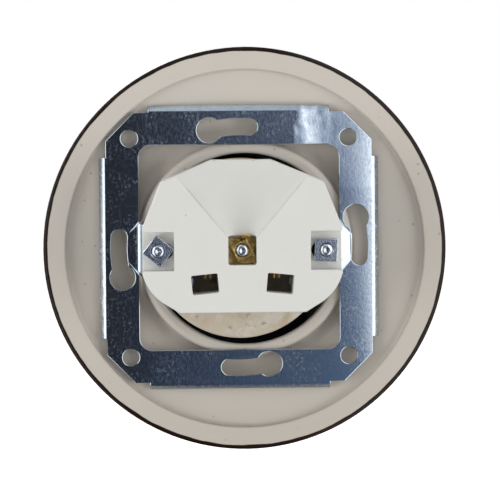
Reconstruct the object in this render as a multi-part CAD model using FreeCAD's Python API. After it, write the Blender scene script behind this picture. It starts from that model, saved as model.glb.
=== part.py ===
import FreeCAD
import Part
import math
import os

Vec = FreeCAD.Vector

# Round flush type F wall socket in porcelain. Sizes are in millimetres.
# The wall plane is y = 0, the room lies towards -Y, the wall box towards +Y, and +Z is up.
# The origin is the middle of the mounting bracket on the wall plane.

# Mounting bracket: one folded steel sheet
sheet = 1.0
bend_radius = 0.65
pitch_circle = 60.0
slot_width = 4.0
keyhole_diameter = 6.3
keyhole_angle = 14.1
slot_end_angle = 5.2
side_web = 1.1
top_web = 1.6
window_side_web = 3.1
window_top_web = 2.5
window_corner_radius = 3.0
plate_chamfer = 7.0
corner_hole_diameter = 4.2
corner_inset_x = 5.9
corner_inset_z = 6.4
flange_length = 45.0
flange_slope = 38.0
flange_reach = 1.75
keyhole_punch_reach = 3.0
tab_width = 12.2
tab_root_width = 7.0
tab_relief = 0.4
tab_web = 0.4
tab_bend = 1.0
tab_lift_angle = 13.0
tab_overlap = 0.5
tab_flare = 0.6
tab_turn_angle = 40.0
tab_turn_run = 0.8
tab_wall_run = 0.2

# Socket cup: the well for the plug, with its front flange
well_diameter = 39.0
well_depth = 17.5
cup_wall = 2.75
cup_floor = 4.5
cup_foot_round = 0.9
flange_thickness = 4.0
flange_edge_round = 2.2
well_mouth_round = 1.5
well_floor_round = 1.0
rib_width = 4.0
rib_reach = 2.0
rib_set_back = 3.0
pin_spacing = 19.0
pin_length = 19.0
pin_hole_diameter = 5.3
pin_hole_mouth = 0.5

# Cover: turned porcelain plate that the cup's flange clamps on the bracket
cover_height = 13.0
cover_play_x = -1.42
cover_play_z = -0.36
cup_room = 0.05
bracket_room = 0.55
collar_width = 2.95
collar_inner_round = 0.8
collar_outer_round = 1.5
collar_spread = 1.0
dish_depth = 6.8
dish_round = 2.0
dish_knee_width = 5.8
dish_knee_depth = 3.4
dish_knee_round = 6.0
rim_wall_height = 1.8
rim_wall_round = 1.0
rim_width = 5.6
rim_inner_round = 0.5
rim_edge_round = 1.0
edge_height = 4.0
edge_round = 4.0
shoulder_inset = 3.8
shoulder_drop = 2.4
shoulder_round = 6.0
land_margin = 3.9
land_round = 8.0
front_hole_round = 0.8
flange_overlap = 4.3

# Contact base: pressed steatite block
base_thickness = 17.5
base_width = 48.0
base_end_height = 11.2
base_top = 21.9
base_top_flat = 14.4
base_shoulder_x = 19.6
base_shoulder_z = 16.6
base_shoulder_round = 2.0
base_bottom = 14.8
base_bottom_flat = 30.4
base_corner_x = 22.3
base_corner_z = 10.4
base_corner_round = 12.0
base_edge_round = 0.5
chute_mouth_half = 15.5
chute_mouth_z = 17.6
chute_foot_half = 3.8
chute_foot_depth = 3.0
chute_top_depth = 6.5
centre_recess_width = 6.8
centre_recess_up = 3.6
centre_recess_down = 3.4
centre_recess_depth = 5.5
recess_corner_round = 0.5
end_recess_depth = 3.5
end_recess_height = 9.3
end_recess_inner = 16.4
end_step_inner = 16.9
wire_hole_width = 6.4
wire_hole_height = 4.6
wire_hole_x = 9.03
wire_hole_z = -7.9
wire_hole_turn = 5.5
wire_hole_round = 0.4

# Screws and nuts
screw_diameter = 3.0
screw_clearance = 0.2
thread_gap = 0.05
screw_end_chamfer = 0.4
screw_end_reach = 0.8
head_diameter = 5.5
head_gap = 0.5
base_head_height = 2.0
centre_head_height = 1.4
driver_slot_width = 0.8
driver_slot_depth = 0.8
base_screw_x = 20.2
base_screw_slot = 1.6
base_nut_width = 5.5
base_nut_height = 1.8
base_nut_turns = (38.0, 3.0)
earth_nut_width = 4.3
earth_nut_height = 2.4
earth_nut_turn = -27.0
terminal_screw_diameter = 2.6
terminal_head_diameter = 4.4
terminal_head_height = 1.8
terminal_screw_length = 5.0
terminal_washer_thickness = 0.6

# Contacts, their springs and the earth parts
contact_sheet = 0.6
contact_bend = 0.7
contact_half_gap = 3.0
contact_width = 7.0
contact_mouth_set_back = 1.2
contact_mouth_flare = 0.5
contact_neck_pinch = 0.65
contact_neck_depth = 3.2
contact_straight_depth = 6.5
pin_end_room = 0.2
fork_spacing = 1.2
fork_x = 8.3
fork_drop = 3.4
fork_low = 3.8
fork_high = 6.3
fork_stem = 0.8
fork_room = 0.3
tail_sheet = 0.8
tail_width = 3.4
tail_end_margin = 0.8
spring_sheet = 0.4
spring_height = 3.5
spring_gap = 0.05
pocket_room = 0.45
strap_sheet = 0.8
strap_width = 6.0
strap_room = 0.3
strap_bend = 0.9
clip_wall_gap = 1.9
clip_pinch = 2.0
clip_root_height = 5.8
clip_pinch_height = 11.8
clip_tip_height = 16.8
clip_tip_return = 1.5
clamp_sheet = 0.6
clamp_room = 0.1
clamp_lip_width = 2.0
clamp_lip_offset = -0.8
clamp_lip_rise = 1.1
clamp_lip_tip = 0.7
clamp_lip_lean = 0.7

# Smallest length and turn that count as one
least_length = 1e-6
least_turn = 1e-9

# Places that follow from the sizes above
play = math.hypot(cover_play_x, cover_play_z)
pitch_radius = pitch_circle / 2
plate_half_x = pitch_radius + slot_width / 2 + side_web
plate_half_z = pitch_radius + slot_width / 2 + top_web
window_half_x = pitch_radius - slot_width / 2 - window_side_web
window_half_z = pitch_radius - slot_width / 2 - window_top_web
bracket_reach = max(
    math.hypot(plate_half_x, plate_half_z - plate_chamfer),
    math.hypot(plate_half_x - plate_chamfer, plate_half_z),
)
well_radius = well_diameter / 2
cup_radius = well_radius + cup_wall
hole_radius = cup_radius + play + cup_room
flange_radius = hole_radius + play + flange_overlap
cup_front_y = -(cover_height + flange_thickness)
well_floor_y = cup_front_y + well_depth
base_front_y = well_floor_y + cup_floor
base_back_y = base_front_y + base_thickness
tab_front_y = base_front_y + head_gap + base_head_height
ledge_y = tab_front_y + sheet
end_recess_y = base_back_y - end_recess_depth
centre_recess_y = base_back_y - centre_recess_depth
strap_channel_depth = strap_sheet + centre_head_height
strap_front_y = well_floor_y + strap_channel_depth - strap_sheet
earth_nut_y = centre_recess_y + clamp_sheet
clip_half_span = well_radius - clip_wall_gap
pin_x = pin_spacing / 2
pocket_floor_y = well_floor_y + pin_length + pin_end_room + contact_sheet
pocket_half_x = contact_half_gap + contact_sheet / 2 + spring_gap + spring_sheet + pocket_room
pocket_half_z = contact_width / 2 + spring_gap + spring_sheet + pocket_room + pocket_room / 2
tail_back_y = base_front_y + contact_straight_depth + contact_sheet + tail_sheet
tail_inner_x = pin_x + contact_half_gap - contact_sheet / 2
terminal_x = tail_inner_x + tail_width / 2
terminal_z = wire_hole_z
tail_low_z = wire_hole_z - wire_hole_height / 2 - tail_end_margin


def plane_xy(u, v):
    """Point of the plane z = 0 at x = u, y = v."""
    return Vec(u, v, 0)


def plane_xz(y):
    """Mapping of (u, v) to x and z on the plane at depth y."""
    return lambda u, v: Vec(u, y, v)


def plane_zy(x):
    """Mapping of (u, v) to z and y on the plane at x."""
    return lambda u, v: Vec(x, v, u)


def corner_arc(before, corner, after, radius):
    """Start, middle and end of the tangent arc that rounds one corner."""
    to_before = (before - corner).normalize()
    to_after = (after - corner).normalize()
    half_angle = to_before.getAngle(to_after) / 2
    reach = radius / math.tan(half_angle)
    bisector = (to_before + to_after).normalize()
    middle = corner + bisector * (radius / math.sin(half_angle) - radius)
    return [corner + to_before * reach, middle, corner + to_after * reach]


def rounded_face(corners, place):
    """Flat face inside the corners (u, v, radius), each rounded by a tangent arc of its radius."""
    flat = [Vec(u, v, 0) for u, v, radius in corners]
    stretches = []
    for i, (u, v, radius) in enumerate(corners):
        if radius > 0:
            stretches.append(corner_arc(flat[i - 1], flat[i], flat[(i + 1) % len(flat)], radius))
        else:
            stretches.append([flat[i]])
    edges = []
    for i, stretch in enumerate(stretches):
        points = [place(p.x, p.y) for p in stretch]
        following = stretches[(i + 1) % len(stretches)][0]
        if len(points) == 3:
            edges.append(Part.Arc(*points).toShape())
        next_start = place(following.x, following.y)
        if points[-1].distanceToPoint(next_start) > least_length:
            edges.append(Part.makeLine(points[-1], next_start))
    return Part.Face(Part.Wire(edges))


def strip_corners(points, thickness, bend):
    """Corners of a bent sheet strip round its centre line, with concentric bends."""
    line = [Vec(u, v, 0) for u, v in points]
    left = []
    right = []
    for i, point in enumerate(line):
        behind = (point - line[i - 1]).normalize() if i > 0 else None
        ahead = (line[i + 1] - point).normalize() if i < len(line) - 1 else None
        first = behind or ahead
        second = ahead or behind
        normal_first = Vec(-first.y, first.x, 0)
        normal_second = Vec(-second.y, second.x, 0)
        mitre = (normal_first + normal_second) * (thickness / 2 / (1 + normal_first.dot(normal_second)))
        turn = first.cross(second).z
        inside = bend - thickness / 2
        outside = bend + thickness / 2
        left_radius = 0 if abs(turn) < least_turn else (inside if turn > 0 else outside)
        right_radius = 0 if abs(turn) < least_turn else (outside if turn > 0 else inside)
        left.append((point.x + mitre.x, point.y + mitre.y, left_radius))
        right.append((point.x - mitre.x, point.y - mitre.y, right_radius))
    return left + right[::-1]


def slab(face, direction):
    """Solid of a face pushed along a direction."""
    return face.extrude(direction)


def block(x_range, y_range, z_range):
    """Box between the given limits."""
    size = [high - low for low, high in (x_range, y_range, z_range)]
    return Part.makeBox(*size, Vec(x_range[0], y_range[0], z_range[0]))


def rod(x, z, radius, y_start, y_end):
    """Round rod along Y between two depths."""
    return Part.makeCylinder(radius, y_end - y_start, Vec(x, y_start, z), Vec(0, 1, 0))


def rectangle(half_u, half_v, radius):
    """Corners of a centred rectangle with rounded corners."""
    signs = ((-1, -1), (1, -1), (1, 1), (-1, 1))
    return [(su * half_u, sv * half_v, radius) for su, sv in signs]


def mirrored_x(shape):
    """Mirror image of a shape on the other side of the plane x = 0."""
    return shape.mirror(Vec(0, 0, 0), Vec(1, 0, 0))


def slotted_screw(x, z, seat_y, head_height, head_width, end_y, diameter):
    """Slotted cheese head screw whose head stands on the room side of its seat."""
    radius = diameter / 2
    head = rod(x, z, head_width / 2, seat_y - head_height, seat_y)
    head_rim = head.Edges[0] if head.Edges[0].CenterOfMass.y < seat_y - head_height / 2 else head.Edges[2]
    head = head.makeChamfer(screw_end_chamfer / 2, [head_rim])
    shank = rod(x, z, radius, seat_y, end_y - screw_end_chamfer)
    tip_base = Vec(x, end_y - screw_end_chamfer, z)
    tip = Part.makeCone(radius, radius - screw_end_chamfer, screw_end_chamfer, tip_base, Vec(0, 1, 0))
    slot = block(
        (x - head_width, x + head_width),
        (seat_y - head_height, seat_y - head_height + driver_slot_depth),
        (z - driver_slot_width / 2, z + driver_slot_width / 2),
    )
    return head.fuse([shank, tip]).removeSplitter().cut(slot)


def square_nut(x, z, seat_y, width, height, turn):
    """Square nut on its seat, turned about its own axis."""
    outline = rounded_face(rectangle(width / 2, width / 2, recess_corner_round / 2), plane_xz(seat_y))
    nut = slab(outline, Vec(0, height, 0))
    nut.rotate(Vec(0, 0, 0), Vec(0, 1, 0), -turn)
    nut.translate(Vec(x, 0, z))
    return nut.cut(rod(x, z, screw_diameter / 2 + thread_gap, seat_y, seat_y + height))


def make_cover():
    """Turned cover: dome in front, and rim, dish and collar behind."""
    recess_radius = bracket_reach + play + bracket_room
    cover_radius = recess_radius + rim_width
    collar_radius = hole_radius + collar_width
    land_radius = flange_radius + play + land_margin
    profile = [
        (hole_radius, -sheet, collar_inner_round),
        (collar_radius, -sheet, collar_outer_round),
        (collar_radius + collar_spread, -dish_depth, dish_round),
        (collar_radius + collar_spread + dish_knee_width, -dish_knee_depth, dish_knee_round),
        (recess_radius, -rim_wall_height, rim_wall_round),
        (recess_radius, 0, rim_inner_round),
        (cover_radius, 0, rim_edge_round),
        (cover_radius, -edge_height, edge_round),
        (cover_radius - shoulder_inset, shoulder_drop - cover_height, shoulder_round),
        (land_radius, -cover_height, land_round),
        (hole_radius, -cover_height, front_hole_round),
    ]
    cover = rounded_face(profile, plane_xy).revolve(Vec(0, 0, 0), Vec(0, 1, 0), 360)
    cover.translate(Vec(cover_play_x, 0, cover_play_z))
    return cover


def make_cup():
    """Well with flange, guide ribs, pin holes and the channel for the earth strap."""
    profile = [
        (0, base_front_y, 0),
        (cup_radius, base_front_y, cup_foot_round),
        (cup_radius, -cover_height, front_hole_round),
        (flange_radius, -cover_height, front_hole_round),
        (flange_radius, cup_front_y, flange_edge_round),
        (well_radius, cup_front_y, well_mouth_round),
        (well_radius, well_floor_y, well_floor_round),
        (0, well_floor_y, 0),
    ]
    cup = rounded_face(profile, plane_xy).revolve(Vec(0, 0, 0), Vec(0, 1, 0), 360)
    rib_profile = [
        (well_radius - rib_reach, -rib_width / 2, rib_width / 4),
        (well_radius + cup_wall / 2, -rib_width / 2, 0),
        (well_radius + cup_wall / 2, rib_width / 2, 0),
        (well_radius - rib_reach, rib_width / 2, rib_width / 4),
    ]
    rib_start = cup_front_y + rib_set_back
    rib = slab(rounded_face(rib_profile, plane_xz(rib_start)), Vec(0, well_floor_y - rib_start, 0))
    cup = cup.fuse([rib, mirrored_x(rib)]).removeSplitter()
    channel_half_z = clip_half_span + strap_sheet / 2 + strap_room
    channel = rectangle(strap_width / 2 + strap_room, channel_half_z, recess_corner_round)
    cuts = [slab(rounded_face(channel, plane_xz(well_floor_y)), Vec(0, strap_channel_depth, 0))]
    pin_radius = pin_hole_diameter / 2
    for x in (-pin_x, pin_x):
        cuts.append(rod(x, 0, pin_radius, well_floor_y, base_front_y))
        mouth = Vec(x, well_floor_y, 0)
        cuts.append(Part.makeCone(pin_radius + pin_hole_mouth, pin_radius, pin_hole_mouth, mouth, Vec(0, 1, 0)))
    cuts.append(rod(0, 0, screw_diameter / 2 + screw_clearance, well_floor_y, base_front_y))
    return cup.cut(cuts)


def keyhole_cutter(depth_start, depth_end):
    """One keyhole on the +X side: round end, slot along the pitch circle and rounded slot end."""
    depth = depth_end - depth_start
    pieces = []
    for angle, radius in ((-keyhole_angle, keyhole_diameter / 2), (slot_end_angle, slot_width / 2)):
        x = pitch_radius * math.cos(math.radians(angle))
        z = pitch_radius * math.sin(math.radians(angle))
        pieces.append(rod(x, z, radius, depth_start, depth_end))
    inner = pitch_radius - slot_width / 2
    section = Part.Face(Part.makePolygon([
        Vec(inner, depth_start, 0),
        Vec(inner + slot_width, depth_start, 0),
        Vec(inner + slot_width, depth_end, 0),
        Vec(inner, depth_end, 0),
        Vec(inner, depth_start, 0),
    ]))
    slot = section.revolve(Vec(0, 0, 0), Vec(0, 1, 0), keyhole_angle + slot_end_angle)
    slot.rotate(Vec(0, 0, 0), Vec(0, 1, 0), -slot_end_angle)
    return pieces[0].fuse([pieces[1], slot])


def raised_web(root_x, edge_x, ridge_y):
    """Low ramp with sloping sides, pressed up out of the plate beside a tab."""
    root_half = tab_root_width / 2
    ridge_half = tab_width / 2
    foot_half = ridge_half + tab_flare
    root_low = Vec(root_x, 0, -root_half)
    root_high = Vec(root_x, 0, root_half)
    foot_low = Vec(edge_x, 0, -foot_half)
    foot_high = Vec(edge_x, 0, foot_half)
    ridge_low = Vec(edge_x, ridge_y, -ridge_half)
    ridge_high = Vec(edge_x, ridge_y, ridge_half)
    outlines = [
        [root_low, root_high, foot_high, foot_low],
        [foot_low, foot_high, ridge_high, ridge_low],
        [ridge_low, ridge_high, root_high, root_low],
        [root_low, foot_low, ridge_low],
        [root_high, ridge_high, foot_high],
    ]
    faces = [Part.Face(Part.makePolygon(outline + outline[:1])) for outline in outlines]
    return Part.makeSolid(Part.makeShell(faces))


def make_bracket():
    """Plate with window, keyholes and corner holes, four sloping flanges and two raised tabs."""
    cut_x = plate_half_x - plate_chamfer
    cut_z = plate_half_z - plate_chamfer
    outline = [
        (plate_half_x, -cut_z, 0),
        (plate_half_x, cut_z, 0),
        (cut_x, plate_half_z, 0),
        (-cut_x, plate_half_z, 0),
        (-plate_half_x, cut_z, 0),
        (-plate_half_x, -cut_z, 0),
        (-cut_x, -plate_half_z, 0),
        (cut_x, -plate_half_z, 0),
    ]
    through = Vec(0, sheet, 0)
    plate = slab(rounded_face(outline, plane_xz(-sheet)), through)
    window = rectangle(window_half_x, window_half_z, window_corner_radius)
    plate = plate.cut(slab(rounded_face(window, plane_xz(-sheet)), through))

    tab_root = pitch_radius - slot_width / 2 - tab_web
    lift = math.radians(tab_lift_angle)
    ridge_y = (tab_root - window_half_x) * math.tan(lift)
    ramp = raised_web(tab_root, window_half_x, ridge_y)
    hollow = ramp.translated(Vec(0, -sheet / math.cos(lift), 0))
    plate = plate.fuse([ramp, mirrored_x(ramp)]).cut([hollow, mirrored_x(hollow)])

    slope = math.radians(flange_slope)
    fold_run = bend_radius * math.tan(slope / 2)
    lip_run = flange_reach - sheet / 2 * math.sin(slope)
    lip_y = -sheet / 2 - (lip_run - fold_run) * math.tan(slope)
    pieces = []
    for half, turn in ((plate_half_x, 0), (plate_half_z, 90), (plate_half_x, 180), (plate_half_z, 270)):
        path = [(half, -sheet / 2), (half + fold_run, -sheet / 2), (half + lip_run, lip_y)]
        fold = rounded_face(strip_corners(path, sheet, bend_radius), lambda u, v: Vec(u, v, -flange_length / 2))
        flange = slab(fold, Vec(0, 0, flange_length))
        flange.rotate(Vec(0, 0, 0), Vec(0, 1, 0), turn)
        pieces.append(flange)

    tab_middle_y = tab_front_y + sheet / 2
    turn_y = ridge_y - sheet / 2 / math.cos(lift)
    wall_x = window_half_x - tab_turn_run
    wall_y = turn_y + tab_turn_run * math.tan(math.radians(tab_turn_angle))
    tab_path = [
        (window_half_x + tab_overlap, turn_y - tab_overlap * math.tan(lift)),
        (window_half_x, turn_y),
        (wall_x, wall_y),
        (wall_x - tab_wall_run, tab_middle_y),
        (end_step_inner + tab_relief, tab_middle_y),
    ]
    tab_face = rounded_face(strip_corners(tab_path, sheet, tab_bend), lambda u, v: Vec(u, v, -tab_width / 2))
    tab_outline = [
        (end_step_inner, -tab_width / 2, 0),
        (window_half_x, -tab_width / 2, 0),
        (tab_root, -tab_root_width / 2, 0),
        (tab_root, tab_root_width / 2, 0),
        (window_half_x, tab_width / 2, 0),
        (end_step_inner, tab_width / 2, 0),
    ]
    tab_blank = slab(rounded_face(tab_outline, plane_xz(-sheet)), Vec(0, sheet + ledge_y, 0))
    tab = slab(tab_face, Vec(0, 0, tab_width)).common(tab_blank)
    tab = tab.cut(rod(base_screw_x, 0, screw_diameter / 2 + screw_clearance, tab_front_y, ledge_y))
    pieces += [tab, mirrored_x(tab)]

    bracket = plate.fuse(pieces).removeSplitter()
    cuts = []
    for quarter in range(4):
        cutter = keyhole_cutter(-keyhole_punch_reach, keyhole_punch_reach)
        cutter.rotate(Vec(0, 0, 0), Vec(0, 1, 0), 90 * quarter)
        cuts.append(cutter)
    for sx in (-1, 1):
        for sz in (-1, 1):
            x = sx * (plate_half_x - corner_inset_x)
            z = sz * (plate_half_z - corner_inset_z)
            cuts.append(rod(x, z, corner_hole_diameter / 2, -sheet, 0))
    return bracket.cut(cuts)


def base_outline():
    """Corners of the base seen from behind, from the top round the +X end to the bottom and back."""
    half = [
        (base_top_flat / 2, base_top, 0),
        (base_shoulder_x, base_shoulder_z, base_shoulder_round),
        (base_width / 2, base_end_height / 2, 0),
        (base_width / 2, -base_end_height / 2, 0),
        (base_corner_x, -base_corner_z, base_corner_round),
        (base_bottom_flat / 2, -base_bottom, 0),
    ]
    return half + [(-x, z, radius) for x, z, radius in half[::-1]]


def chute_section(half_width, depth, z):
    """Closed wire of one cross-section of the chute: an arc below the back face, closed above it."""
    left = Vec(-half_width, base_back_y, z)
    right = Vec(half_width, base_back_y, z)
    arc = Part.Arc(left, Vec(0, base_back_y - depth, z), right).toShape()
    return Part.Wire([arc, Part.makeLine(right, left)])


def make_chute():
    """Widening hollow that leads the earth wire from the top edge down to the centre recess."""
    widening = (chute_mouth_half - chute_foot_half) / (chute_mouth_z - centre_recess_up)
    deepening = (chute_top_depth - chute_foot_depth) / (base_top - centre_recess_up)
    sections = []
    for z in (0.0, base_top + base_edge_round):
        along = z - centre_recess_up
        half_width = chute_foot_half + widening * along
        sections.append(chute_section(half_width, chute_foot_depth + deepening * along, z))
    return Part.makeLoft(sections, True, True)


def wire_hole_cutter():
    """Rectangular wire hole on the +X side, from the terminal pocket to the back."""
    corners = rectangle(wire_hole_width / 2, wire_hole_height / 2, wire_hole_round)
    hole = slab(rounded_face(corners, plane_xz(tail_back_y)), Vec(0, base_back_y - tail_back_y, 0))
    hole.rotate(Vec(0, 0, 0), Vec(0, 1, 0), wire_hole_turn)
    hole.translate(Vec(wire_hole_x, 0, wire_hole_z))
    return hole


def pole_cutters():
    """Hollows of the base for one contact, its terminal, its wire and its end screw, on the +X side."""
    pocket_x = (pin_x - pocket_half_x, pin_x + pocket_half_x)
    pocket_z = (-pocket_half_z, pocket_half_z)
    washer_reach = terminal_head_diameter / 2 + tab_relief
    terminal_pocket = block(
        (pocket_x[0], terminal_x + washer_reach),
        (base_front_y, tail_back_y),
        (tail_low_z - screw_clearance, 0),
    )
    fork_half = (fork_spacing + contact_sheet) / 2 + fork_room
    fork_slot = block(
        (fork_x - fork_half, fork_x + fork_half),
        (tail_back_y, pocket_floor_y - fork_low + fork_room),
        (wire_hole_z, 0),
    )
    end_half_z = max(base_shoulder_z, base_bottom)
    end_step = block((end_step_inner, base_width), (base_front_y, ledge_y), (-end_half_z * 2, end_half_z * 2))
    end_recess = block(
        (end_recess_inner, base_width),
        (end_recess_y, base_back_y),
        (-end_recess_height / 2, end_recess_height / 2),
    )
    slot_radius = screw_diameter / 2 + 2 * screw_clearance
    screw_slot = block(
        (base_screw_x - base_screw_slot, base_screw_x),
        (ledge_y, end_recess_y),
        (-slot_radius, slot_radius),
    )
    terminal_hole = terminal_screw_diameter / 2 + screw_clearance
    return [
        block(pocket_x, (base_front_y, pocket_floor_y), pocket_z),
        terminal_pocket,
        fork_slot,
        wire_hole_cutter(),
        end_step,
        end_recess,
        screw_slot,
        rod(base_screw_x, 0, slot_radius, ledge_y, end_recess_y),
        rod(base_screw_x - base_screw_slot, 0, slot_radius, ledge_y, end_recess_y),
        rod(terminal_x, terminal_z, terminal_hole, tail_back_y, tail_back_y + terminal_screw_length),
    ]


def make_base():
    """Steatite block with its chute, recesses, wire holes and front pockets."""
    block_solid = slab(rounded_face(base_outline(), plane_xz(base_front_y)), Vec(0, base_thickness, 0))
    back_edges = [e for e in block_solid.Edges if e.BoundBox.YMin > base_back_y - base_edge_round]
    block_solid = block_solid.makeFillet(base_edge_round, back_edges)
    recess_corners = [
        (-centre_recess_width / 2, -centre_recess_down, recess_corner_round),
        (centre_recess_width / 2, -centre_recess_down, recess_corner_round),
        (centre_recess_width / 2, centre_recess_up, recess_corner_round),
        (-centre_recess_width / 2, centre_recess_up, recess_corner_round),
    ]
    recess = slab(rounded_face(recess_corners, plane_xz(centre_recess_y)), Vec(0, centre_recess_depth, 0))
    cuts = [make_chute(), recess]
    cuts.append(rod(0, 0, screw_diameter / 2 + screw_clearance, base_front_y, centre_recess_y))
    for cutter in pole_cutters():
        cuts += [cutter, mirrored_x(cutter)]
    return block_solid.cut(cuts)


def make_contact():
    """Sprung contact of the pole on the +X side, with its terminal tail and the fork in the wire hole."""
    half_z = contact_width / 2
    mouth_y = base_front_y + contact_mouth_set_back
    neck_y = base_front_y + contact_neck_depth
    straight_y = base_front_y + contact_straight_depth
    floor_y = pocket_floor_y - contact_sheet / 2
    leaf = [
        (contact_half_gap + contact_mouth_flare, mouth_y),
        (contact_half_gap - contact_neck_pinch, neck_y),
        (contact_half_gap, straight_y),
        (contact_half_gap, floor_y),
    ]
    path = [(-x, y) for x, y in leaf] + leaf[::-1]
    corners = strip_corners(path, contact_sheet, contact_bend)
    contact = slab(rounded_face(corners, lambda u, v: Vec(pin_x + u, v, -half_z)), Vec(0, 0, contact_width))

    leaf_outer_x = tail_inner_x + contact_sheet
    widening_z = terminal_z + terminal_head_diameter / 2
    tail_outline = [
        (tail_inner_x, -half_z + contact_sheet, 0),
        (tail_inner_x, tail_low_z, 0),
        (tail_inner_x + tail_width, tail_low_z, 0),
        (tail_inner_x + tail_width, widening_z, 0),
        (leaf_outer_x, widening_z + contact_sheet, 0),
        (leaf_outer_x, -half_z + contact_sheet, 0),
    ]
    tail_y = tail_back_y - tail_sheet
    tail = slab(rounded_face(tail_outline, plane_xz(tail_y)), Vec(0, tail_sheet, 0))
    tail = tail.cut(rod(terminal_x, terminal_z, terminal_screw_diameter / 2 + thread_gap, tail_y, tail_back_y))

    stem_z = -half_z - fork_stem
    fork_outline = [
        (-half_z + contact_sheet / 2, pocket_floor_y, 0),
        (stem_z, pocket_floor_y, 0),
        (stem_z, pocket_floor_y - fork_low, 0),
        (-half_z - fork_drop, pocket_floor_y - fork_low, 0),
        (-half_z - fork_drop, pocket_floor_y - fork_high, 0),
        (stem_z + fork_stem - fork_room / 2, pocket_floor_y - fork_high, 0),
        (stem_z + fork_stem - fork_room / 2, pocket_floor_y - contact_sheet, 0),
        (-half_z + contact_sheet / 2, pocket_floor_y - contact_sheet, 0),
    ]
    prongs = []
    for side in (-1, 1):
        x = fork_x + side * fork_spacing / 2 - contact_sheet / 2
        prongs.append(slab(rounded_face(fork_outline, plane_zy(x)), Vec(contact_sheet, 0, 0)))
    return contact.fuse([tail] + prongs).removeSplitter()


def make_contact_spring():
    """Steel clip that keeps the contact leaves of the +X pole closed."""
    side = contact_half_gap + contact_sheet / 2 + spring_gap + spring_sheet / 2
    top = contact_width / 2 + spring_gap + spring_sheet / 2
    low = -contact_width / 2 + contact_sheet
    path = [(-side, low), (-side, top), (side, top), (side, low)]
    start_y = tail_back_y + spring_gap
    corners = strip_corners(path, spring_sheet, spring_sheet / 2 + spring_gap)
    return slab(rounded_face(corners, lambda u, v: Vec(pin_x + u, start_y, v)), Vec(0, spring_height, 0))


def make_terminal_washer():
    """Clamp washer of the terminal on the +X side."""
    back_y = tail_back_y - tail_sheet
    front_y = back_y - terminal_washer_thickness
    washer = rod(terminal_x, terminal_z, terminal_head_diameter / 2, front_y, back_y)
    hole_radius_washer = terminal_screw_diameter / 2 + screw_clearance
    return washer.cut(rod(terminal_x, terminal_z, hole_radius_washer, front_y, back_y))


def make_terminal_screw():
    """Terminal screw of the +X side, its head on the washer."""
    seat_y = tail_back_y - tail_sheet - terminal_washer_thickness
    end_y = tail_back_y + terminal_screw_length - screw_end_reach
    return slotted_screw(
        terminal_x, terminal_z, seat_y, terminal_head_height, terminal_head_diameter - screw_clearance,
        end_y, terminal_screw_diameter,
    )


def make_earth_strap():
    """Springy strip across the well floor whose two ends stand up as the earth clips."""
    middle_y = strap_front_y + strap_sheet / 2
    pinch_z = clip_half_span - clip_pinch
    end = [
        (pinch_z + clip_tip_return, middle_y - clip_tip_height),
        (pinch_z, middle_y - clip_pinch_height),
        (clip_half_span, middle_y - clip_root_height),
        (clip_half_span, middle_y),
    ]
    path = [(-z, y) for z, y in end] + end[::-1]
    corners = strip_corners(path, strap_sheet, strap_bend)
    strap = slab(rounded_face(corners, plane_zy(-strap_width / 2)), Vec(strap_width, 0, 0))
    hole = rod(0, 0, screw_diameter / 2 + screw_clearance, strap_front_y, strap_front_y + strap_sheet)
    return strap.cut(hole)


def make_clamp_plate():
    """Plate under the earth nut with a narrow lip that stands up into the chute."""
    half = centre_recess_width / 2 - clamp_room
    low_z = clamp_room - centre_recess_down
    high_z = centre_recess_up - clamp_room
    corners = [
        (-half, low_z, recess_corner_round),
        (half, low_z, recess_corner_round),
        (half, high_z - clamp_sheet, 0),
        (-half, high_z - clamp_sheet, 0),
    ]
    plate = slab(rounded_face(corners, plane_xz(centre_recess_y)), Vec(0, clamp_sheet, 0))
    middle_y = centre_recess_y + clamp_sheet / 2
    lip_foot_z = high_z - clamp_sheet / 2
    bend_y = base_back_y - chute_foot_depth + clamp_lip_rise
    lip_path = [
        (lip_foot_z - 2 * clamp_sheet, middle_y),
        (lip_foot_z, middle_y),
        (lip_foot_z, bend_y),
        (lip_foot_z + clamp_lip_lean, bend_y + clamp_lip_tip),
    ]
    lip_x = clamp_lip_offset - clamp_lip_width / 2
    lip_corners = strip_corners(lip_path, clamp_sheet, clamp_sheet / 2 + clamp_room)
    lip = slab(rounded_face(lip_corners, plane_zy(lip_x)), Vec(clamp_lip_width, 0, 0))
    plate = plate.fuse(lip).removeSplitter()
    return plate.cut(rod(0, 0, screw_diameter / 2 + screw_clearance, centre_recess_y, earth_nut_y))


def both_poles(shape):
    """A piece of the +X pole and its mirror image, as one group of two solids."""
    return Part.makeCompound([shape, mirrored_x(shape)])


def make_base_screws():
    """Two screws that hold the base's ends on the bracket's tabs."""
    end_y = end_recess_y + base_nut_height + screw_end_reach
    screws = []
    for x in (-base_screw_x, base_screw_x):
        screws.append(slotted_screw(x, 0, tab_front_y, base_head_height, head_diameter, end_y, screw_diameter))
    return Part.makeCompound(screws)


def make_base_nuts():
    """Two square nuts in the end recesses, each as turned as it happens to lie."""
    nuts = []
    for x, turn in zip((base_screw_x, -base_screw_x), base_nut_turns):
        nuts.append(square_nut(x, 0, end_recess_y, base_nut_width, base_nut_height, turn))
    return Part.makeCompound(nuts)


def make_centre_screw():
    """Long screw from the earth strap through the cup and the base to the earth nut."""
    end_y = earth_nut_y + earth_nut_height + screw_end_reach
    return slotted_screw(0, 0, strap_front_y, centre_head_height, head_diameter, end_y, screw_diameter)


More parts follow.
